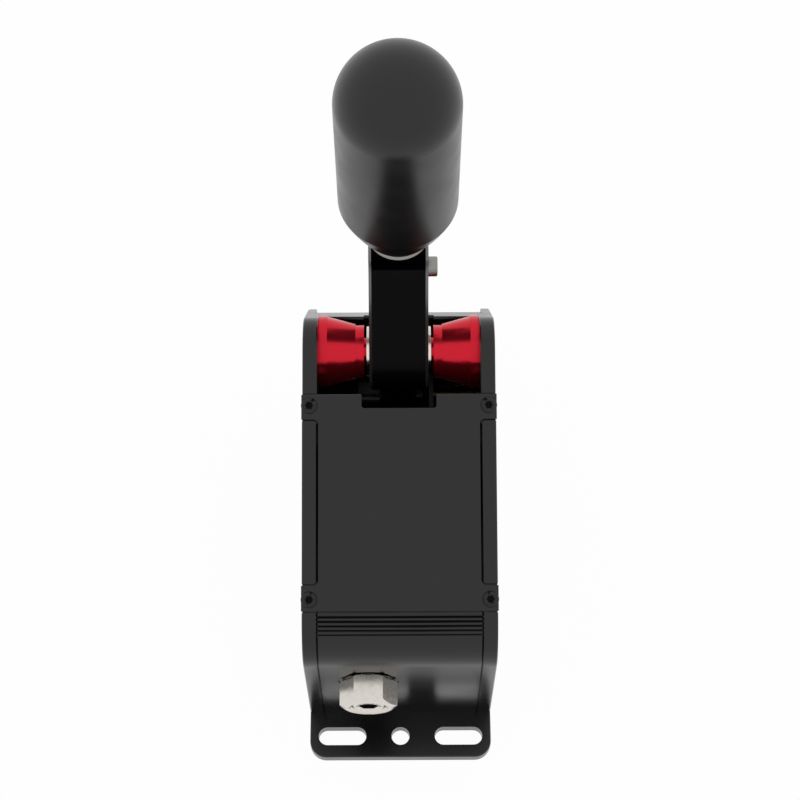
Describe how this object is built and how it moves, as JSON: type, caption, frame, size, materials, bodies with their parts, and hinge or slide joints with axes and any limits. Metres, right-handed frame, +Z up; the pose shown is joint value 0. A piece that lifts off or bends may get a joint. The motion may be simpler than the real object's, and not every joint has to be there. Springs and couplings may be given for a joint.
{
  "type": "sequential gear shifter",
  "caption": "Bench mounted sequential gear shifter with a sprung lever, a tall round knob, red cone spacers and a preload adjuster in its front face.",
  "frame": {"origin": "middle of the base plate's underside", "axes": "+Z up, -Y the front with the adjuster, +X to the right seen from the front"},
  "size_m": [0.0666, 0.1727, 0.2213],
  "materials": {
    "anodised_black": "fine matte black anodising",
    "anodised_red": "glossy red anodising on a turned face",
    "black_polymer": "satin black polymer",
    "steel": "bright stainless steel",
    "black_steel": "black oxide steel",
    "spring_steel": "plain spring steel",
    "bronze": "sintered bronze or plain brass",
    "rubber": "matte black rubber",
    "board_green": "green solder mask"
  },
  "bodies": {
    "housing": {"base_plate": "anodised_black", "left_side_plate": "anodised_black", "right_side_plate": "anodised_black", "nose_block": "anodised_black", "front_cover": "anodised_black", "cover_screws": "black_steel", "rear_block": "anodised_black", "rear_cover": "anodised_black", "rear_cover_screws": "black_steel", "side_plate_screws": "black_steel", "bracket_screws": "black_steel", "base_screws": "black_steel", "spring_bracket": "anodised_black", "guide_bush": "bronze", "pivot_shaft": "steel", "shaft_end_screws": "black_steel", "left_cone_spacer": "anodised_red", "right_cone_spacer": "anodised_red", "bearing_inner_rings": "steel", "adjuster_nut": "steel", "front_spring": "spring_steel", "rear_spring": "spring_steel", "front_stop": "rubber", "rear_stop": "rubber", "sensor_board": "board_green", "board_spacers": "bronze", "board_screws": "steel", "sensor_chips": "black_polymer", "data_socket": "steel"},
    "lever": {"lever": "anodised_black", "bearing_outer_rings": "steel", "clamp_screw": "steel", "sensor_magnet": "steel", "knob": "black_polymer", "knob_collar": "steel", "knob_stud": "steel"},
    "push_rod": {"push_rod": "steel", "rod_collar": "steel", "collar_screw": "black_steel", "link_pin": "steel", "pin_clips": "spring_steel"},
    "spring_cup": {"spring_cup": "steel"},
    "adjuster": {"adjuster_screw": "steel"}
  },
  "joints": [
    {"name": "lever_pivot", "type": "hinge", "parent": "housing", "child": "lever", "pos_m": [0, 0.042, 0.084], "axis": [1, 0, 0], "range_deg": [-6, 6], "stiffness_Nm_per_rad": 40},
    {"name": "rod_slide", "type": "slide", "parent": "housing", "child": "push_rod", "axis": [0, 1, 0], "range_m": [-0.004, 0.004], "deforming": ["front_spring", "rear_spring"]},
    {"name": "cup_slide", "type": "slide", "parent": "housing", "child": "spring_cup", "axis": [0, 1, 0], "range_m": [-0.003, 0.003]},
    {"name": "adjuster_turn", "type": "hinge", "parent": "spring_cup", "child": "adjuster", "pos_m": [-0.011, -0.0764, 0.0462], "axis": [0, 1, 0], "range_deg": [-600, 600]}
  ],
  "couplings": [
    {"joint": "rod_slide", "follows": "lever_pivot", "m_per_rad": 0.0378},
    {"joint": "cup_slide", "follows": "adjuster_turn", "m_per_rad": 0.00027852}
  ]
}
